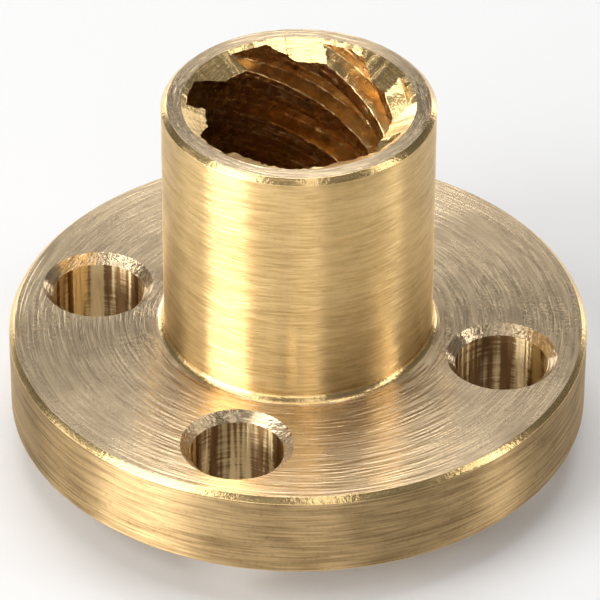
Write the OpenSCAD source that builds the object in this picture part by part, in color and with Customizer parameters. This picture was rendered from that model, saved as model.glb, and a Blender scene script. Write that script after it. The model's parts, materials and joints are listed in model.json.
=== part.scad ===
// Flanged lead screw nut with a seven-start thread, turned from one bar of brass.
// The bore runs along Z, the locating boss ends on Z = 0 and the hub's nose points up.

/* [Flange] */
// Diameter of the flange
flange_d = 22; // [21.5:0.5:30]
// Thickness of the flange
flange_t = 3.5; // [2:0.1:6]
// Chamfer on both outer edges of the flange
flange_chamfer = 0.2; // [0.1:0.05:0.4]

/* [Hub] */
// Diameter of the hub
hub_d = 10.2; // [9.6:0.1:10.8]
// Length of the hub, from the flange's face to its nose
hub_l = 10; // [4:0.5:24]
// Chamfer round the hub's nose
hub_chamfer = 0.2; // [0.1:0.05:0.35]
// Radius that the turning tool leaves where the hub meets the flange
hub_fillet = 0.35; // [0.1:0.05:0.5]

/* [Locating boss] */
// Diameter of the boss that centres the nut in its bracket
boss_d = 10.2; // [9.6:0.1:10.8]
// Length of the boss, from the flange's underside
boss_l = 1.5; // [1:0.1:5]
// Chamfer round the boss's end
boss_chamfer = 0.2; // [0.1:0.05:0.35]

/* [Screw holes] */
// Number of screw holes in the flange
hole_count = 4; // [3:1:6]
// Diameter of a screw hole
hole_d = 3.5; // [2:0.1:4]
// Diameter of the circle that the screw holes lie on
hole_circle_d = 16; // [15.4:0.1:17]
// Angle of the first screw hole, anticlockwise from +X
hole_first_angle = 73.8; // [0:0.1:90]
// Width and depth of the chamfer at both mouths of a screw hole
hole_chamfer = 0.35; // [0.1:0.05:0.4]

/* [Thread] */
// Nominal diameter of the screw that runs in the nut
screw_d = 8; // [6:0.1:8.5]
// Gap between the screw's crests and the bottoms of the nut's grooves
crest_clearance = 0.15; // [0.05:0.01:0.2]
// Depth of the nut's thread
thread_depth = 0.7; // [0.4:0.05:0.9]
// Number of starts
thread_starts = 7; // [4:1:8]
// Distance along the axis from one ridge to the next
thread_pitch = 2; // [1.8:0.1:2.5]
// Width of the bottom of a groove, measured along the axis
groove_w = 0.88; // [0.7:0.01:1.1]
// Slope of a flank from a plane that is square to the axis
flank_angle = 15; // [5:1:20]
// Angle of one groove's centre at the hub's nose, anticlockwise from +X
groove_first_angle = 18.5; // [0:0.5:51]

/* [Mouths of the bore] */
// How far the rim of a bore's countersink stands outside the grooves
mouth_land = 0.2; // [0.1:0.05:0.25]
// Included angle of the countersink at each end of the bore
mouth_angle = 120; // [90:5:140]

/* [Hidden] */

$fn = 180;
brass = [0.80, 0.66, 0.40];

// Radii of the turned surfaces
flange_r = flange_d / 2;
hub_r = hub_d / 2;
boss_r = boss_d / 2;

// Heights of the flange's two faces and of the hub's nose
flange_z = boss_l;
hub_z = flange_z + flange_t;
nut_h = hub_z + hub_l;

// Radii of a screw hole and of its mouths, which are chamfered at 45 degrees
hole_r = hole_d / 2;
hole_mouth_r = hole_r + hole_chamfer;
hole_mouth_angle = 90;

// Radii of the grooves' bottoms, of the ridges' crests and of the bore's mouths
groove_r = screw_d / 2 + crest_clearance;
ridge_r = groove_r - thread_depth;
mouth_r = groove_r + mouth_land;

// Lead of the thread, and its turn for each millimetre along the axis
thread_lead = thread_starts * thread_pitch;
turn_per_mm = 360 / thread_lead;

// How far a cutter runs past the surface that it leaves through
overrun = 0.5;
// How far the groove cutter reaches past both radii of the thread, which trim it
trim = 0.3;
// Turn of the thread from one layer of the groove cutter to the next
layer_turn = 5;
// Widest step along the groove cutter's outer arc
arc_step = 24;

// Half the angle that a groove takes up at radius r
function groove_half_angle(r) =
    turn_per_mm * (groove_w / 2 + (groove_r - r) * tan(flank_angle));

function polar(r, angle) = r * [cos(angle), sin(angle)];

// Outline of the groove cutter: a lobe for each start, with straight flanks
function groove_outline() =
    let (
        inner_r = ridge_r - trim,
        outer_r = groove_r + trim,
        inner_half = groove_half_angle(inner_r),
        outer_half = groove_half_angle(outer_r),
        arc_steps = ceil(2 * outer_half / arc_step)
    )
    [
        for (start = [0 : thread_starts - 1])
            let (centre = start * 360 / thread_starts)
            each [
                polar(inner_r, centre - inner_half),
                for (i = [0 : arc_steps])
                    polar(outer_r, centre + outer_half * (2 * i / arc_steps - 1)),
                polar(inner_r, centre + inner_half)
            ]
    ];

// Half section of the turned blank, with the axis on its left edge
module blank_section() {
    polygon([
        [0, 0],
        [boss_r - boss_chamfer, 0],
        [boss_r, boss_chamfer],
        [boss_r, flange_z],
        [flange_r - flange_chamfer, flange_z],
        [flange_r, flange_z + flange_chamfer],
        [flange_r, hub_z - flange_chamfer],
        [flange_r - flange_chamfer, hub_z],
        [hub_r, hub_z],
        [hub_r, nut_h - hub_chamfer],
        [hub_r - hub_chamfer, nut_h],
        [0, nut_h]
    ]);
}

// Section of the fillet at the foot of the hub, let into both surfaces by its own radius
module hub_fillet_section() {
    translate([hub_r, hub_z])
        difference() {
            translate([-hub_fillet, -hub_fillet]) square(2 * hub_fillet);
            translate([hub_fillet, hub_fillet]) circle(hub_fillet);
        }
}

module blank() {
    rotate_extrude() {
        blank_section();
        hub_fillet_section();
    }
}

// Countersink that opens upwards to radius r at z = 0, from inner_r below
module countersink(r, inner_r, angle) {
    widening = tan(angle / 2);
    depth = (r - inner_r) / widening;
    translate([0, 0, -depth])
        cylinder(h = depth + overrun, r1 = inner_r, r2 = r + overrun * widening);
}

// The same countersink at both ends of a hole that runs from z = bottom to z = top
module countersinks(bottom, top, r, inner_r, angle) {
    translate([0, 0, top]) countersink(r, inner_r, angle);
    translate([0, 0, bottom]) mirror([0, 0, 1]) countersink(r, inner_r, angle);
}

module screw_hole() {
    translate([0, 0, flange_z - overrun]) cylinder(h = flange_t + 2 * overrun, r = hole_r);
    countersinks(flange_z, hub_z, hole_mouth_r, hole_r - hole_chamfer, hole_mouth_angle);
}

module screw_holes() {
    for (i = [0 : hole_count - 1])
        rotate(hole_first_angle + i * 360 / hole_count)
            translate([hole_circle_d / 2, 0, 0]) screw_hole();
}

// Right-hand grooves, one for each start, whose bottoms are trimmed to a true cylinder
module thread_grooves() {
    cutter_h = nut_h + 2 * overrun;
    cutter_turn = cutter_h * turn_per_mm;
    intersection() {
        translate([0, 0, -overrun / 2]) cylinder(h = nut_h + overrun, r = groove_r);
        translate([0, 0, -overrun])
            rotate(groove_first_angle - (nut_h + overrun) * turn_per_mm)
                linear_extrude(
                    height = cutter_h,
                    twist = -cutter_turn,
                    slices = ceil(cutter_turn / layer_turn),
                    segments = 0
                )
                    polygon(groove_outline());
    }
}

module threaded_bore() {
    translate([0, 0, -overrun]) cylinder(h = nut_h + 2 * overrun, r = ridge_r);
    thread_grooves();
    countersinks(0, nut_h, mouth_r, ridge_r - mouth_land, mouth_angle);
}

module lead_screw_nut() {
    color(brass)
        difference() {
            blank();
            screw_holes();
            threaded_bore();
        }
}

lead_screw_nut();
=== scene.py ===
"""Finish and studio for a flanged lead screw nut with a seven-start thread."""

import json
import logging
import math
from collections.abc import Callable, Sequence
from dataclasses import dataclass
from enum import Enum

import bpy
from mathutils import Matrix, Vector

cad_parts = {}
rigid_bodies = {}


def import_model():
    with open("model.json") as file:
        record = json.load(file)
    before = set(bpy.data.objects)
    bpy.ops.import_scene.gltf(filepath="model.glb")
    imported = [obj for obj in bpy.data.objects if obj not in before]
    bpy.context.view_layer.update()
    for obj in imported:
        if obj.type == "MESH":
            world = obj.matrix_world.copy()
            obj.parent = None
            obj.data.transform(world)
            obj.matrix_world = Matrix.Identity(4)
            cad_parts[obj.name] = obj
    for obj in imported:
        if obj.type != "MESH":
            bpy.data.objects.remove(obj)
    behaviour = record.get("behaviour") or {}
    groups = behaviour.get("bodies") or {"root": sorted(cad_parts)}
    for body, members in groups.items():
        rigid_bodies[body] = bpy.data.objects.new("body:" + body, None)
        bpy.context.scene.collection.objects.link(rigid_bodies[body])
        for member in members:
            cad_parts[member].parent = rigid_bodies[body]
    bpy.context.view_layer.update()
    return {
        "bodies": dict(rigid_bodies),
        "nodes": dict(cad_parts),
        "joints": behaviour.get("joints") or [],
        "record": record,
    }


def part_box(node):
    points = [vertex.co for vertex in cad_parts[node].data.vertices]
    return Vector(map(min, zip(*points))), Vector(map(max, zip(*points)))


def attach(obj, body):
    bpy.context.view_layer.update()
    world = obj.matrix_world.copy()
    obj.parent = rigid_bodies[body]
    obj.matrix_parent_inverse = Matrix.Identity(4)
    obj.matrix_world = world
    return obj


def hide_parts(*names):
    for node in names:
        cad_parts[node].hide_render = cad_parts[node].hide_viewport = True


MM = 0.001
NODE = "lead_screw_nut"
BODY = "root"

# Inputs and output of a colour's Mix node, whose names aren't unique
MIX_SHARE, MIX_FIRST, MIX_SECOND, MIX_RESULT = 0, 6, 7, 2
# Turn that sets the spread of light across the lathe's lines, as a share of a full one
QUARTER_TURN = 0.25
# Middle of what a noise gives
NOISE_MIDDLE = 0.5

log = logging.getLogger(NODE)

Outline = list[tuple[float, float]]
Colour = tuple[float, float, float]


class Place(Enum):
    """Where a surface of the nut was cut, which decides its finish, with painted shade and
    reflection in the colours of some places.
    """

    TURNED = 0
    FACED = 1
    EDGE = 2
    CHAMFER = 3
    DRILLED = 4
    THREAD = 5


# ---------------------------------------------------------------- work at the bench


@dataclass(frozen=True)
class Corner:
    """A corner of an outline.

    Args:
        radius: Distance from the axis.
        height: Distance along the axis.
        rounding: Radius of the arc that replaces the corner, or 0 for a sharp one.
    """

    radius: float
    height: float
    rounding: float = 0.0


def rounded(corners: Sequence[Corner], steps: int) -> Outline:
    """Replace the rounded corners of an outline with arcs.

    Args:
        corners: The outline's corners, of which the first and last stay sharp.
        steps: Number of straight pieces in each arc.

    Returns:
        The (radius, height) of each point of the outline.
    """
    points: Outline = [(corners[0].radius, corners[0].height)]
    for before, corner, after in zip(corners, corners[1:], corners[2:]):
        at = Vector((corner.radius, corner.height))
        if not corner.rounding:
            points.append(tuple(at))
            continue
        back = (Vector((before.radius, before.height)) - at).normalized()
        ahead = (Vector((after.radius, after.height)) - at).normalized()
        half = back.angle(ahead) / 2
        centre = at + (back + ahead).normalized() * corner.rounding / math.sin(half)
        start = at + back * corner.rounding / math.tan(half) - centre
        end = at + ahead * corner.rounding / math.tan(half) - centre
        sweep = start.angle_signed(end)
        for i in range(steps + 1):
            turned = Matrix.Rotation(-sweep * i / steps, 2) @ start
            points.append(tuple(centre + turned))
    points.append((corners[-1].radius, corners[-1].height))
    return points


def select_only(piece: bpy.types.Object) -> None:
    """Make a piece the only selected object, and the active one.

    Args:
        piece: The piece that is worked on next.
    """
    bpy.ops.object.select_all(action="DESELECT")
    piece.select_set(True)
    bpy.context.view_layer.objects.active = piece


def turn(
    name: str, outline: Outline, sides: int, axis: tuple[float, float] = (0.0, 0.0)
) -> bpy.types.Object:
    """Turn a closed solid about an upright axis, from its lower end to its upper one.

    Args:
        name: Name of the new piece.
        outline: The (radius, height) of each ring, with a flat end at both ends.
        sides: Number of faces round the solid.
        axis: The (x, y) of the axis.

    Returns:
        The new piece, with its place in its mesh.
    """
    (radius, height), *rings = outline
    bpy.ops.object.select_all(action="DESELECT")
    bpy.ops.mesh.primitive_circle_add(
        vertices=sides, radius=radius, fill_type="NGON", location=(*axis, height)
    )
    piece = bpy.context.object
    piece.name = piece.data.name = name
    bpy.ops.object.mode_set(mode="EDIT")
    for ring_radius, ring_height in rings:
        rise = {"value": (0, 0, ring_height - height)}
        bpy.ops.mesh.extrude_region_move(TRANSFORM_OT_translate=rise)
        widening = ring_radius / radius
        bpy.ops.transform.resize(
            value=(widening, widening, 1), center_override=(*axis, ring_height)
        )
        radius, height = ring_radius, ring_height
    point_faces_outwards(piece)
    return piece


def point_faces_outwards(piece: bpy.types.Object) -> None:
    """Turn every face outwards, leave edit mode and move the piece's place into its mesh.

    Args:
        piece: The piece that is in edit mode.
    """
    bpy.ops.mesh.select_all(action="SELECT")
    bpy.ops.mesh.normals_make_consistent(inside=False)
    bpy.ops.object.mode_set(mode="OBJECT")
    select_only(piece)
    bpy.ops.object.transform_apply(location=True, rotation=True, scale=True)


def edit_selected(
    piece: bpy.types.Object, chosen: Callable[[bpy.types.MeshVertex], bool]
) -> None:
    """Enter edit mode with only the chosen vertices of a piece selected.

    Args:
        piece: The piece to edit.
        chosen: Says of each vertex whether it is to be selected.
    """
    select_only(piece)
    bpy.ops.object.mode_set(mode="EDIT")
    bpy.ops.mesh.select_mode(type="VERT")
    bpy.ops.mesh.select_all(action="DESELECT")
    bpy.ops.object.mode_set(mode="OBJECT")
    for vertex in piece.data.vertices:
        vertex.select = chosen(vertex)
    bpy.ops.object.mode_set(mode="EDIT")


def cut(piece: bpy.types.Object, cutter: bpy.types.Object) -> None:
    """Take a cutter's solid out of a piece, and remove the cutter.

    Args:
        piece: The piece that is cut.
        cutter: A closed solid, which is used up.
    """
    select_only(piece)
    difference = piece.modifiers.new("cut", "BOOLEAN")
    difference.operation = "DIFFERENCE"
    difference.solver = "EXACT"
    difference.object = cutter
    bpy.ops.object.modifier_apply(modifier=difference.name)
    bpy.data.meshes.remove(cutter.data)


# ---------------------------------------------------------------- sizes


@dataclass(frozen=True)
class NutSizes:
    """Sizes of the nut, in metres and radians. The frame doesn't state those with a value here."""

    flange_r: float
    nut_h: float
    hub_r: float
    boss_r: float
    flange_z: float
    hub_z: float
    hole_r: float
    hole_circle_r: float
    hole_count: int
    ridge_r: float
    hole_first_angle: float = math.radians(73.8)
    edge_chamfer: float = 0.2 * MM
    edge_rounding: float = 0.05 * MM
    hub_fillet: float = 0.35 * MM
    hole_chamfer: float = 0.35 * MM
    thread_depth: float = 0.7 * MM
    thread_starts: int = 7
    thread_pitch: float = 2.0 * MM
    groove_w: float = 0.88 * MM
    flank_angle: float = math.radians(15)
    groove_first_angle: float = math.radians(18.5)
    mouth_land: float = 0.2 * MM
    mouth_angle: float = math.radians(120)

    @classmethod
    def from_frame(cls, frame: dict) -> "NutSizes":
        """Read the sizes that the frame states.


        Returns:
            The nut's sizes.
        """
        low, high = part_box(NODE)
        mounts = {mount["name"]: mount for mount in frame["record"]["mounts"]}
        screws = mounts["flange_screws"]["dims"]
        return cls(
            flange_r=min(high.x, high.y, -low.x, -low.y),
            nut_h=high.z - low.z,
            hub_r=mounts["hub"]["dims"]["r_mm"] * MM,
            boss_r=mounts["locating_boss"]["dims"]["r_mm"] * MM,
            flange_z=mounts["flange_underside"]["pos_m"][2],
            hub_z=mounts["flange_face"]["pos_m"][2],
            hole_r=screws["hole_r_mm"] * MM,
            hole_circle_r=screws["pcd_mm"] * MM / 2,
            hole_count=screws["count"],
            ridge_r=mounts["thread"]["dims"]["r_mm"] * MM,
        )

    @property
    def groove_r(self) -> float:
        """Radius of the grooves' bottoms."""
        return self.ridge_r + self.thread_depth

    @property
    def mouth_r(self) -> float:
        """Radius of the bore's mouth."""
        return self.groove_r + self.mouth_land

    @property
    def turn_per_metre(self) -> float:
        """Turn of the thread for each metre along the axis, in radians."""
        return math.tau / (self.thread_starts * self.thread_pitch)

    def hole_axes(self) -> list[tuple[float, float]]:
        """Work out where the screw holes stand.

        Returns:
            The (x, y) of each hole's axis.
        """
        step = math.tau / self.hole_count
        angles = [self.hole_first_angle + i * step for i in range(self.hole_count)]
        return [
            (self.hole_circle_r * math.cos(angle), self.hole_circle_r * math.sin(angle))
            for angle in angles
        ]


# ---------------------------------------------------------------- the nut's solid


@dataclass
class Blank:
    """The turned blank: locating boss, flange and hub, with nothing drilled yet."""

    sizes: NutSizes
    sides: int = 256
    arc_steps: int = 4

    def corners(self) -> list[Corner]:
        """List the corners of the blank's half section.

        Returns:
            The corners, from the boss's end up to the hub's nose.
        """
        s = self.sizes
        soft = s.edge_rounding
        # Flat ring inside the chamfer at each end, from which the end is closed
        land = 2 * soft
        return [
            Corner(s.boss_r - s.edge_chamfer - land, 0),
            Corner(s.boss_r - s.edge_chamfer, 0, soft),
            Corner(s.boss_r, s.edge_chamfer, soft),
            Corner(s.boss_r, s.flange_z),
            Corner(s.flange_r - s.edge_chamfer, s.flange_z, soft),
            Corner(s.flange_r, s.flange_z + s.edge_chamfer, soft),
            Corner(s.flange_r, s.hub_z - s.edge_chamfer, soft),
            Corner(s.flange_r - s.edge_chamfer, s.hub_z, soft),
            Corner(s.hub_r, s.hub_z, s.hub_fillet),
            Corner(s.hub_r, s.nut_h - s.edge_chamfer, soft),
            Corner(s.hub_r - s.edge_chamfer, s.nut_h, soft),
            Corner(s.hub_r - s.edge_chamfer - land, s.nut_h),
        ]

    def build(self) -> bpy.types.Object:
        """Turn the blank."""
        return turn(NODE + "_turned", rounded(self.corners(), self.arc_steps), self.sides)


@dataclass
class ScrewHoles:
    """The flange's screw holes, each with a chamfer at both mouths."""

    sizes: NutSizes
    sides: int = 96
    overrun: float = 0.5 * MM

    def cutters(self) -> list[bpy.types.Object]:
        """Make a cutter for each screw hole.

        Returns:
            The cutters, which widen past both faces of the flange.
        """
        s = self.sizes
        wide_r = s.hole_r + s.hole_chamfer + self.overrun
        outline = [
            (wide_r, s.flange_z - self.overrun),
            (s.hole_r, s.flange_z + s.hole_chamfer),
            (s.hole_r, s.hub_z - s.hole_chamfer),
            (wide_r, s.hub_z + self.overrun),
        ]
        return [turn("drill", outline, self.sides, axis) for axis in s.hole_axes()]


@dataclass
class ThreadedBore:
    """The bore, its seven-start right-hand thread and the countersinks at its mouths."""

    sizes: NutSizes
    crest_rounding: float = 0.06 * MM
    root_rounding: float = 0.08 * MM
    arc_steps: int = 3
    widest_step: float = math.radians(3.2)
    layer_turn: float = math.radians(3)
    mouth_sides: int = 256
    overrun: float = 0.5 * MM
    tear_depth: float = 0.13 * MM
    tear_size: float = 0.25 * MM
    tear_layers: int = 2
    rim_margin: float = 0.01 * MM

    def section(self) -> Outline:
        """Draw one ridge and one groove on a plane square to the axis.

        Returns:
            The (radius, angle) of each point, from the middle of a ridge to the next one.
        """
        s = self.sizes
        foot = s.groove_w / 2
        crest = foot + s.thread_depth * math.tan(s.flank_angle)
        corners = [
            Corner(s.ridge_r, -s.thread_pitch / 2),
            Corner(s.ridge_r, -crest, self.crest_rounding),
            Corner(s.groove_r, -foot, self.root_rounding),
            Corner(s.groove_r, foot, self.root_rounding),
            Corner(s.ridge_r, crest, self.crest_rounding),
            Corner(s.ridge_r, s.thread_pitch / 2),
        ]
        points: Outline = []
        profile = [(r, along * s.turn_per_metre) for r, along in rounded(corners, self.arc_steps)]
        for (r, angle), (next_r, next_angle) in zip(profile, profile[1:]):
            steps = math.ceil(abs(next_angle - angle) / self.widest_step)
            for i in range(steps):
                share = i / steps
                points.append((r + (next_r - r) * share, angle + (next_angle - angle) * share))
        return points

    def star(self) -> bpy.types.Object:
        """Shape a circle into the thread's section, one lobe for each start.

        Returns:
            The section as a ring of edges, turned to where the sweep starts.
        """
        s = self.sizes
        section = self.section()
        count = len(section)
        bpy.ops.object.select_all(action="DESELECT")
        bpy.ops.mesh.primitive_circle_add(
            vertices=count * s.thread_starts, radius=s.ridge_r, location=(0, 0, 0)
        )
        star = bpy.context.object
        first = star.data.vertices[0].co
        first_angle = math.atan2(first.y, first.x)
        nose_turn = s.groove_first_angle - (s.nut_h + self.overrun) * s.turn_per_metre
        for i, (radius, angle) in enumerate(section):
            edit_selected(star, lambda vertex: vertex.index % count == i)
            widening = radius / s.ridge_r
            bpy.ops.transform.resize(value=(widening, widening, 1), center_override=(0, 0, 0))
            stands_at = first_angle + i * math.tau / (count * s.thread_starts)
            # Without a window, a positive value turns clockwise
            bpy.ops.transform.rotate(
                value=stands_at - angle - nose_turn, orient_axis="Z", center_override=(0, 0, 0)
            )
            bpy.ops.object.mode_set(mode="OBJECT")
        return star

    def thread_cutter(self) -> bpy.types.Object:
        """Sweep the thread's section up its helix, and close both ends.

        Returns:
            The cutter, which reaches past both ends of the nut.
        """
        s = self.sizes
        length = s.nut_h + 2 * self.overrun
        cutter = self.star()
        select_only(cutter)
        sweep = cutter.modifiers.new("helix", "SCREW")
        sweep.axis = "Z"
        sweep.angle = length * s.turn_per_metre
        sweep.screw_offset = length
        sweep.steps = sweep.render_steps = math.ceil(sweep.angle / self.layer_turn)
        bpy.ops.object.modifier_apply(modifier=sweep.name)
        bpy.ops.object.mode_set(mode="EDIT")
        bpy.ops.mesh.select_mode(type="EDGE")
        bpy.ops.mesh.select_all(action="DESELECT")
        bpy.ops.mesh.select_non_manifold(
            extend=False,
            use_wire=False,
            use_multi_face=False,
            use_non_contiguous=False,
            use_verts=False,
        )
        bpy.ops.mesh.fill_holes(sides=0)
        bpy.ops.mesh.select_all(action="SELECT")
        bpy.ops.transform.translate(value=(0, 0, -self.overrun))
        point_faces_outwards(cutter)
        return cutter

    def cutters(self) -> list[bpy.types.Object]:
        """Make the thread's cutter and the two countersinks.

        Returns:
            The cutters, each a closed solid.
        """
        s = self.sizes
        steepness = math.tan(s.mouth_angle / 2)
        inner_r = s.ridge_r - s.mouth_land
        depth = (s.mouth_r - inner_r) / steepness
        outer_r = s.mouth_r + self.overrun * steepness
        lower = [(outer_r, -self.overrun), (inner_r, depth)]
        upper = [(inner_r, s.nut_h - depth), (outer_r, s.nut_h + self.overrun)]
        return [
            self.thread_cutter(),
            turn("lower_mouth", lower, self.mouth_sides),
            turn("upper_mouth", upper, self.mouth_sides),
        ]

    def tear(self, nut: bpy.types.Object) -> None:
        """Tear the cut thread and its mouths a little.

        Args:
            nut: The nut, with its bore cut.
        """
        inside = self.sizes.mouth_r - self.rim_margin
        torn = nut.vertex_groups.new(name="torn")
        for vertex in nut.data.vertices:
            if math.hypot(vertex.co.x, vertex.co.y) < inside:
                torn.add([vertex.index], 1.0, "REPLACE")
        grain = bpy.data.textures.new("torn_brass", "CLOUDS")
        grain.cloud_type = "COLOR"
        grain.noise_scale = self.tear_size
        grain.noise_depth = self.tear_layers
        select_only(nut)
        tearing = nut.modifiers.new("tear", "DISPLACE")
        tearing.texture = grain
        tearing.texture_coords = "LOCAL"
        tearing.direction = "RGB_TO_XYZ"
        tearing.vertex_group = torn.name
        tearing.strength = self.tear_depth
        bpy.ops.object.modifier_apply(modifier=tearing.name)


# ---------------------------------------------------------------- finishes


class Value:
    """A number that varies over a surface, with Python's operators as shader maths."""

    def __init__(self, sheet: "ShaderSheet", socket: bpy.types.NodeSocket) -> None:
        """Wrap an output socket of a shader's sheet."""
        self.sheet = sheet
        self.socket = socket

    def _maths(self, operation: str, *terms: "Value | float") -> "Value":
        """Add a Math node that works on the terms."""
        sockets = {i: term for i, term in enumerate(terms)}
        return self.sheet.value("ShaderNodeMath", {"operation": operation}, sockets)

    def __add__(self, other: "Value | float") -> "Value":
        """Add."""
        return self._maths("ADD", self, other)

    __radd__ = __add__

    def __sub__(self, other: "Value | float") -> "Value":
        """Subtract."""
        return self._maths("SUBTRACT", self, other)

    def __rsub__(self, other: float) -> "Value":
        """Subtract from a number."""
        return self._maths("SUBTRACT", other, self)

    def __mul__(self, other: "Value | float") -> "Value":
        """Multiply."""
        return self._maths("MULTIPLY", self, other)

    __rmul__ = __mul__

    def __truediv__(self, other: "Value | float") -> "Value":
        """Divide."""
        return self._maths("DIVIDE", self, other)

    def __rtruediv__(self, other: float) -> "Value":
        """Divide a number by this value."""
        return self._maths("DIVIDE", other, self)

    def root(self) -> "Value":
        """Take the square root."""
        return self._maths("SQRT", self)

    def angle_to(self, other: "Value") -> "Value":
        """Work out the angle whose tangent is this value over another one."""
        return self._maths("ARCTAN2", self, other)

    def cosine(self) -> "Value":
        """Take the cosine."""
        return self._maths("COSINE", self)

    def sine(self) -> "Value":
        """Take the sine."""
        return self._maths("SINE", self)

    def between(self, low: float, high: float) -> "Value":
        """Rise smoothly from 0 at one value to 1 at another.

        Args:
            low: Value where the result is 0.
            high: Value where the result is 1, above or below the other one.

        Returns:
            The blend, from 0 to 1.
        """
        swap = low > high
        settings = {"interpolation_type": "SMOOTHSTEP"}
        ends = {"From Min": min(low, high), "From Max": max(low, high)}
        ends |= {"To Min": float(swap), "To Max": float(not swap)}
        return self.sheet.value("ShaderNodeMapRange", settings, {"Value": self, **ends})


@dataclass
class ShaderSheet:
    """The node sheet of one material."""

    material: bpy.types.Material

    @classmethod
    def fresh(cls, name: str) -> "ShaderSheet":
        """Start a material with an empty sheet.

        Args:
            name: Name of the material.

        Returns:
            The material's sheet.
        """
        material = bpy.data.materials.new(name)
        material.use_nodes = True
        material.node_tree.nodes.clear()
        return cls(material)

    def node(self, kind: str, settings: dict, sockets: dict) -> bpy.types.Node:
        """Add a node, with its settings made first and its sockets filled next.

        Args:
            kind: The node's type.
            settings: The node's own properties.
            sockets: A number, colour, Value or output socket for each input's name or index.

        Returns:
            The new node.
        """
        node = self.material.node_tree.nodes.new(kind)
        for name, setting in settings.items():
            setattr(node, name, setting)
        for name, source in sockets.items():
            source = source.socket if isinstance(source, Value) else source
            if isinstance(source, bpy.types.NodeSocket):
                self.material.node_tree.links.new(source, node.inputs[name])
            else:
                node.inputs[name].default_value = source
        return node

    def value(self, kind: str, settings: dict, sockets: dict, output: int = 0) -> Value:
        """Add a node and wrap one of its outputs."""
        return Value(self, self.node(kind, settings, sockets).outputs[output])

    def noise(
        self, place: Value, scale: float = 1.0, w: "Value | float" = 0.0, detail: float = 2.0
    ) -> Value:
        """Add a four-dimensional noise, from 0 to 1."""
        sockets = {"Vector": place, "W": w, "Scale": scale, "Detail": detail}
        return self.value("ShaderNodeTexNoise", {"noise_dimensions": "4D"}, sockets)

    def vector(self, x: "Value | float", y: "Value | float", z: "Value | float") -> Value:
        """Join three numbers into a vector."""
        return self.value("ShaderNodeCombineXYZ", {}, {0: x, 1: y, 2: z})

    def mixed(self, share: Value, first: Colour, second: Colour) -> Value:
        """Blend two colours."""
        sockets = {MIX_SHARE: share, MIX_FIRST: (*first, 1.0), MIX_SECOND: (*second, 1.0)}
        return self.value("ShaderNodeMix", {"data_type": "RGBA"}, sockets, MIX_RESULT)

    def finish(self, surface: bpy.types.Node) -> bpy.types.Material:
        """Send a shader to the material's output."""
        self.node("ShaderNodeOutputMaterial", {}, {"Surface": surface.outputs[0]})
        return self.material


@dataclass(frozen=True)
class LathePlace:
    """A place on the nut's surface, as the lathe's operator measures it."""

    sheet: ShaderSheet
    x: Value
    y: Value
    height: Value

    @classmethod
    def on(cls, sheet: ShaderSheet) -> "LathePlace":
        """Read the place on a material's sheet.

        Args:
            sheet: The sheet that the finish is drawn on.

        Returns:
            The place, in the nut's own frame.
        """
        point = sheet.node("ShaderNodeTexCoord", {}, {}).outputs["Object"]
        split = sheet.node("ShaderNodeSeparateXYZ", {}, {"Vector": point})
        return cls(sheet, *(Value(sheet, split.outputs[i]) for i in range(3)))

    def radius(self) -> Value:
        """Measure the distance from the axis."""
        return (self.x * self.x + self.y * self.y).root()

    def rings(self, per_mm: float, waver: float, shift: float = 0.0) -> Value:
        """Draw fine lines that run round the axis.

        Args:
            per_mm: Number of lines in each millimetre across them.
            waver: How often a line changes along each radian of its ring.
            shift: Moves the pattern, so that two of them differ.

        Returns:
            The lines' height, from 0 to 1.
        """
        radius = self.radius()
        along = waver / radius
        across = per_mm / MM
        place = self.sheet.vector(self.x * along, self.y * along, self.height * across + shift)
        return self.sheet.noise(place, w=radius * across, detail=1.0)

    def spots(self, per_mm: float, detail: float, shift: float = 0.0) -> Value:
        """Draw soft spots of no direction.

        Args:
            per_mm: Number of spots in each millimetre.
            detail: Number of finer layers of spots.
            shift: Moves the pattern, so that two of them differ.

        Returns:
            The spots, from 0 to 1.
        """
        place = self.sheet.vector(self.x, self.y, self.height)
        return self.sheet.noise(place, per_mm / MM, shift, detail)


@dataclass(frozen=True)
class Brass:
    """What every brass surface of the nut has in common."""

    colour: Colour = (0.91, 0.65, 0.30)
    # Dull brass here; the flange's side, drilled walls and thread pass darker ones that are painted
    # shade
    dull_and_shade_colour: Colour = (0.55, 0.35, 0.13)

    def dress(
        self,
        sheet: ShaderSheet,
        roughness: "Value | float",
        dulling_and_shade: Value,
        height: Value,
        depth: float,
        anisotropy: float = 0.0,
    ) -> bpy.types.Material:
        """Finish a sheet with a brass surface.

        Args:
            sheet: The material's sheet.
            roughness: Roughness of the surface.
            dulling_and_shade: Share of the dull colour at each place, which is painted shade on the
                flange's side, the drilled walls and inside the bore.
            height: Height of the tool marks, from 0 to 1.
            depth: Depth of the tool marks, in metres.
            anisotropy: How much more the marks spread light across them than along them.

        Returns:
            The material.
        """
        marks = {"Strength": 1.0, "Distance": depth, "Height": height}
        bump = sheet.node("ShaderNodeBump", {}, marks)
        sockets = {
            "Base Color": sheet.mixed(dulling_and_shade, self.colour, self.dull_and_shade_colour),
            "Metallic": 1.0,
            "Roughness": roughness,
            "Anisotropic": anisotropy,
            "Anisotropic Rotation": QUARTER_TURN,
            "Normal": bump.outputs[0],
        }
        return sheet.finish(sheet.node("ShaderNodeBsdfPrincipled", {}, sockets))


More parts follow.
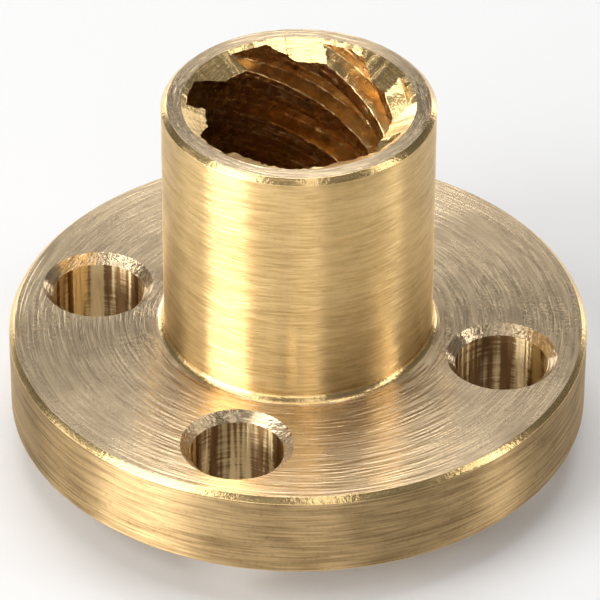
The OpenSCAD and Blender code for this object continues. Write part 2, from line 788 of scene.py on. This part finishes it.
@dataclass(frozen=True)
class TurnedBrass:
    """Brass as a lathe tool leaves it, with fine lines that run round the axis.

    A part is a share of the marks' height, a share says how dull the brass gets, and a range says
    where in the marks that starts and where it is complete.
    """

    name: str = "turned_brass"
    brass: Brass = Brass()
    roughness: float = 0.38
    anisotropy: float = 0.98
    fine_per_mm: float = 9.0
    fine_waver: float = 5.0
    broad_per_mm: float = 3.2
    broad_waver: float = 1.2
    broad_shift: float = 20.0
    broad_part: float = 0.4
    patches_per_mm: float = 0.5
    patch_detail: float = 4.0
    speckles_per_mm: float = 6.0
    speckle_detail: float = 3.0
    speckle_shift: float = 5.0
    grain_part: float = 0.04
    depth: float = 0.065 * MM
    line_range: tuple[float, float] = (0.64, 0.34)
    line_share: float = 0.5
    patch_range: tuple[float, float] = (0.42, 0.68)
    patch_share: float = 0.2
    speckle_range: tuple[float, float] = (0.5, 0.75)
    speckle_share: float = 0.2
    patch_roughness: float = 0.12
    line_roughness: float = 0.1

    def material(self) -> bpy.types.Material:
        """Build the material.

        Returns:
            The new material.
        """
        sheet = ShaderSheet.fresh(self.name)
        place = LathePlace.on(sheet)
        fine = place.rings(self.fine_per_mm, self.fine_waver)
        broad = place.rings(self.broad_per_mm, self.broad_waver, self.broad_shift)
        patches = place.spots(self.patches_per_mm, self.patch_detail)
        lines = fine * (1 - self.broad_part) + broad * self.broad_part
        speckles = place.spots(self.speckles_per_mm, self.speckle_detail, self.speckle_shift)
        dulling_and_shade = (
            lines.between(*self.line_range) * self.line_share
            + patches.between(*self.patch_range) * self.patch_share
            + speckles.between(*self.speckle_range) * self.speckle_share
        )
        roughness = (
            self.roughness
            + (patches - NOISE_MIDDLE) * self.patch_roughness
            + (broad - NOISE_MIDDLE) * self.line_roughness
        )
        height = lines + speckles * self.grain_part
        return self.brass.dress(sheet, roughness, dulling_and_shade, height, self.depth, self.anisotropy)


@dataclass(frozen=True)
class DrilledBrass:
    """Brass as a drill leaves it, with score marks down the wall and fine rings round it, and pale
    and near-black bands down the wall that paint its reflections and the shade between them.

    A drift says how often, in each metre, a mark changes along its own length.
    """

    # A pale brass and a near-black one, mixed in bands down the wall: painted reflection and
    # painted shade
    brass: Brass = Brass(colour=(1.0, 0.79, 0.44), dull_and_shade_colour=(0.22, 0.10, 0.03))
    roughness: float = 0.5
    anisotropy: float = 0.98
    scores_per_mm: float = 2.2
    score_drift: float = 120.0
    rings_per_mm: float = 10.0
    ring_drift: float = 500.0
    ring_dulling: float = 0.2
    ring_part: float = 0.5
    dull_range: tuple[float, float] = (0.57, 0.45)
    dull_share: float = 0.9
    depth: float = 0.12 * MM

    def material(self) -> bpy.types.Material:
        """Build the material.

        Returns:
            The new material.
        """
        sheet = ShaderSheet.fresh("drilled_brass")
        place = LathePlace.on(sheet)
        across = self.scores_per_mm / MM
        down = place.height * self.score_drift
        scores_and_shade_bands = sheet.noise(sheet.vector(place.x * across, place.y * across, down))
        up = place.height * (self.rings_per_mm / MM)
        rings = sheet.noise(sheet.vector(place.x * self.ring_drift, place.y * self.ring_drift, up))
        # The near-black share of these marks is painted shade between the wall's reflections
        marks = scores_and_shade_bands + (rings - NOISE_MIDDLE) * self.ring_dulling
        dulling_and_shade = marks.between(*self.dull_range) * self.dull_share
        height = scores_and_shade_bands + rings * self.ring_part
        return self.brass.dress(sheet, self.roughness, dulling_and_shade, height, self.depth, self.anisotropy)


@dataclass(frozen=True)
class CutThreadBrass:
    """Brass as a tap leaves it, torn into streaks that follow the thread, in a darker, redder
    colour that paints the shade inside the bore.

    A part is a share of the marks' height, and the drift says how often, in each metre, a streak
    changes along its own length.
    """

    turn_per_metre: float
    # A little darker and redder than elsewhere: painted shade inside the bore, over the real torn
    # streaks
    brass: Brass = Brass(colour=(0.88, 0.60, 0.28), dull_and_shade_colour=(0.52, 0.26, 0.10))
    roughness: float = 0.26
    streaks_per_mm: float = 4.5
    streak_drift: float = 500.0
    streak_part: float = 0.65
    chatter_per_mm: float = 3.0
    chatter_detail: float = 4.0
    chatter_shift: float = 3.0
    chatter_part: float = 0.35
    chatter_roughness: float = 0.3
    dull_range: tuple[float, float] = (0.62, 0.42)
    dull_share: float = 0.75
    depth: float = 0.08 * MM

    def material(self) -> bpy.types.Material:
        """Build the material.

        Returns:
            The new material.
        """
        sheet = ShaderSheet.fresh("cut_thread_brass")
        place = LathePlace.on(sheet)
        angle = place.y.angle_to(place.x) - place.height * self.turn_per_metre
        across = place.radius() * (self.streaks_per_mm / MM)
        along = place.height * self.streak_drift
        streaks = sheet.noise(sheet.vector(angle.cosine() * across, angle.sine() * across, along))
        chatter = place.spots(self.chatter_per_mm, self.chatter_detail, self.chatter_shift)
        torn = streaks * self.streak_part + chatter * self.chatter_part
        # The dull colour laid along these streaks is painted shade of the bore
        dulling_and_shade = torn.between(*self.dull_range) * self.dull_share
        roughness = self.roughness + (chatter - NOISE_MIDDLE) * self.chatter_roughness
        return self.brass.dress(sheet, roughness, dulling_and_shade, torn, self.depth)


# ---------------------------------------------------------------- the finished nut


@dataclass
class LeadScrewNut:
    """The whole nut: its solid, cut from one blank, and the finish of each surface.

    Args:
        sizes: The nut's sizes.
        sharp_angle: Bend above which an edge stays sharp.
        flat_lean: Upright part of a face's normal above which the face lies flat.
        slope_lean: Upright part above which a face is no longer an upright wall.
        flank_lean: Upright part below which a face in the bore is thread, not mouth.
        bore_margin: How far outside the grooves' bottoms a torn face of the thread may stand.
    """

    sizes: NutSizes
    sharp_angle: float = math.radians(28)
    flat_lean: float = 0.95
    slope_lean: float = 0.12
    flank_lean: float = 0.46
    bore_margin: float = 0.05 * MM

    def build(self) -> bpy.types.Object:
        """Cut the nut from its blank and dress it.

        Returns:
            The finished nut.
        """
        nut = Blank(self.sizes).build()
        bore = ThreadedBore(self.sizes)
        for cutter in bore.cutters() + ScrewHoles(self.sizes).cutters():
            cut(nut, cutter)
        bore.tear(nut)
        select_only(nut)
        bpy.ops.object.shade_smooth_by_angle(angle=self.sharp_angle)
        weigh = nut.modifiers.new("flats", "WEIGHTED_NORMAL")
        weigh.keep_sharp = True
        bpy.ops.object.modifier_apply(modifier=weigh.name)
        self.dress(nut)
        return nut

    def place_of(self, face: bpy.types.MeshPolygon) -> Place:
        """Say which tool cut a face.

        Args:
            face: A face of the finished nut.

        Returns:
            The place that decides the face's finish.
        """
        s = self.sizes
        reach = math.hypot(face.center.x, face.center.y)
        leans = abs(face.normal.z)
        if reach < s.groove_r + self.bore_margin and leans < self.flank_lean:
            return Place.THREAD
        for hole_x, hole_y in s.hole_axes():
            from_axis = math.hypot(face.center.x - hole_x, face.center.y - hole_y)
            if from_axis < s.hole_r + s.hole_chamfer:
                return Place.FACED if leans > self.slope_lean else Place.DRILLED
        if leans > self.flat_lean:
            return Place.FACED
        if leans > self.slope_lean:
            return Place.CHAMFER
        return Place.EDGE if reach > s.hole_circle_r + s.hole_r else Place.TURNED

    def finishes(self) -> dict[Place, TurnedBrass | DrilledBrass | CutThreadBrass]:
        """List the finishes.

        Returns:
            The finish of each place.
        """
        return {
            Place.TURNED: TurnedBrass(),
            # Flat faces: a paler, greyer brass than the turned sides, partly tarnish and partly a
            # painted reflection of the pale room above them
            Place.FACED: TurnedBrass(
                name="faced_brass",
                brass=Brass(colour=(0.84, 0.65, 0.41), dull_and_shade_colour=(0.54, 0.41, 0.26)),
                roughness=0.27,
                anisotropy=0.92,
                line_share=0.6,
                broad_part=0.3,
                patch_share=0.4,
                speckle_share=0.4,
                grain_part=0.12,
            ),
            # Flange's side: a darker brass and a near-black dull colour, painted shade that darkens
            # the side's reflections
            Place.EDGE: TurnedBrass(
                name="edge_brass",
                brass=Brass(colour=(0.70, 0.49, 0.24), dull_and_shade_colour=(0.24, 0.15, 0.06)),
                roughness=0.48,
                anisotropy=0.99,
                fine_per_mm=11.0,
                broad_part=0.3,
                line_share=0.6,
                depth=0.04 * MM,
            ),
            Place.CHAMFER: TurnedBrass(
                name="chamfer_brass",
                roughness=0.25,
                anisotropy=0.8,
                line_share=0.3,
                grain_part=0.7,
                depth=0.02 * MM,
            ),
            Place.DRILLED: DrilledBrass(),
            Place.THREAD: CutThreadBrass(self.sizes.turn_per_metre),
        }

    def dress(self, nut: bpy.types.Object) -> None:
        """Give each surface the finish of the tool that cut it, whose colours paint shade on the
        flange's side, drilled walls and thread, and reflection on the flat faces and drilled walls.

        Args:
            nut: The nut, with all its cuts made.
        """
        nut.data.materials.clear()
        finishes = self.finishes()
        for place in Place:
            nut.data.materials.append(finishes[place].material())
        for face in nut.data.polygons:
            face.material_index = self.place_of(face).value
        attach(nut, BODY)
        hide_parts(NODE)


# ---------------------------------------------------------------- the studio


@dataclass(frozen=True)
class SoftBox:
    """A rectangular light that faces the nut.

    Args:
        name: What the light does.
        azimuth: Degrees to the right of the camera's side.
        elevation: Degrees above the floor.
        width: Width of the light.
        height: Height of the light.
        radiance: Brightness of its face.
        distance: Distance from the nut.
    """

    name: str
    azimuth: float
    elevation: float
    width: float
    height: float
    radiance: float
    distance: float = 0.6

    def hang(self, target: Vector) -> None:
        """Hang the light.

        Args:
            target: The point that the light faces.
        """
        azimuth, elevation = math.radians(self.azimuth), math.radians(self.elevation)
        aim = Vector(
            (
                math.sin(azimuth) * math.cos(elevation),
                -math.cos(azimuth) * math.cos(elevation),
                math.sin(elevation),
            )
        )
        lamp = bpy.data.lights.new(self.name, "AREA")
        lamp.shape = "RECTANGLE"
        lamp.size, lamp.size_y = self.width, self.height
        lamp.energy = self.radiance * math.pi * self.width * self.height
        light = bpy.data.objects.new(self.name, lamp)
        light.location = target + aim * self.distance
        light.rotation_euler = aim.to_track_quat("Z", "Y").to_euler()
        bpy.context.scene.collection.objects.link(light)


@dataclass
class Studio:
    """The floor, the lights and the camera, whose angles are in degrees and lens in millimetres."""

    sizes: NutSizes
    floor_size: float = 1.2
    floor_colour: Colour = (0.83, 0.83, 0.83)
    floor_gap: float = 0.01 * MM
    world_grey: float = 0.12
    camera_elevation: float = 36.475
    camera_distance: float = 188.76 * MM
    camera_roll: float = 0.232
    camera_lens: float = 298.45
    camera_nearest: float = 1 * MM
    camera_farthest: float = 10.0
    target: tuple[float, float, float] = (0.07 * MM, 0, 5.928 * MM)

    def set_up(self) -> None:
        """Set up the whole studio."""
        self.lay_floor()
        self.hang_lights()
        self.place_camera()
        bpy.context.scene.view_settings.view_transform = "Standard"

    def lay_floor(self) -> None:
        """Lay a plain pale floor under the nut."""
        bpy.ops.object.select_all(action="DESELECT")
        bpy.ops.mesh.primitive_plane_add(size=self.floor_size, location=(0, 0, -self.floor_gap))
        floor = bpy.context.object
        floor.name = "floor"
        sheet = ShaderSheet.fresh("pale_floor")
        matt = sheet.node("ShaderNodeBsdfDiffuse", {}, {"Color": (*self.floor_colour, 1.0)})
        floor.data.materials.append(sheet.finish(matt))

    def hang_lights(self) -> None:
        """Hang the soft boxes and set the grey of the room."""
        world = bpy.data.worlds.new("room")
        world.use_nodes = True
        background = world.node_tree.nodes["Background"]
        background.inputs["Color"].default_value = (1, 1, 1, 1)
        background.inputs["Strength"].default_value = self.world_grey
        bpy.context.scene.world = world
        centre = Vector((0, 0, self.sizes.hub_z))
        for box in (
            SoftBox("key", -57, 12.5, 0.36, 0.27, 10.5),
            SoftBox("key_left", -90, 12.5, 0.23, 0.27, 1.6),
            SoftBox("key_right", -24, 12.5, 0.22, 0.27, 2.1),
            SoftBox("front", 4, 8, 0.32, 0.17, 2.4),
            SoftBox("right", 80, 27, 0.12, 0.60, 3.0),
            SoftBox("upper_left", -60, 48, 0.34, 0.19, 4.0),
            SoftBox("upper_front", 12, 50, 0.10, 0.30, 2.0),
            SoftBox("overhead", 180, 65, 0.36, 0.21, 3.4),
            SoftBox("zenith", 180, 88, 0.42, 0.20, 3.4),
            SoftBox("behind", 180, 12, 1.0, 0.25, 1.2),
            SoftBox("behind_left", -149, 17, 0.20, 0.20, 2.6, distance=0.59),
            SoftBox("behind_right", 143, 6, 0.10, 0.14, 2.4),
            SoftBox("upper_back", 180, 47, 0.62, 0.18, 0.85),
        ):
            box.hang(centre)

    def place_camera(self) -> None:
        """Place the camera in front of the nut, looking down on it."""
        tilt = math.radians(self.camera_elevation)
        back = Vector((0, -math.cos(tilt), math.sin(tilt)))
        camera = bpy.data.objects.new("camera", bpy.data.cameras.new("camera"))
        camera.data.lens = self.camera_lens
        camera.data.clip_start = self.camera_nearest
        camera.data.clip_end = self.camera_farthest
        camera.location = Vector(self.target) + back * self.camera_distance
        roll = Matrix.Rotation(math.radians(self.camera_roll), 4, "Z")
        look = Matrix.Rotation(math.pi / 2 - tilt, 4, "X")
        camera.rotation_euler = (look @ roll).to_euler()
        bpy.context.scene.collection.objects.link(camera)
        bpy.context.scene.camera = camera


def main() -> None:
    """Build the nut and its studio, and report each piece."""
    logging.basicConfig(level=logging.INFO, format="%(name)s: %(message)s")
    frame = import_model()
    sizes = NutSizes.from_frame(frame)
    nut = LeadScrewNut(sizes).build()
    log.info("nut: %d faces", len(nut.data.polygons))
    Studio(sizes).set_up()
    log.info("studio: floor, lights and camera")


if __name__ == "__main__":
    main()
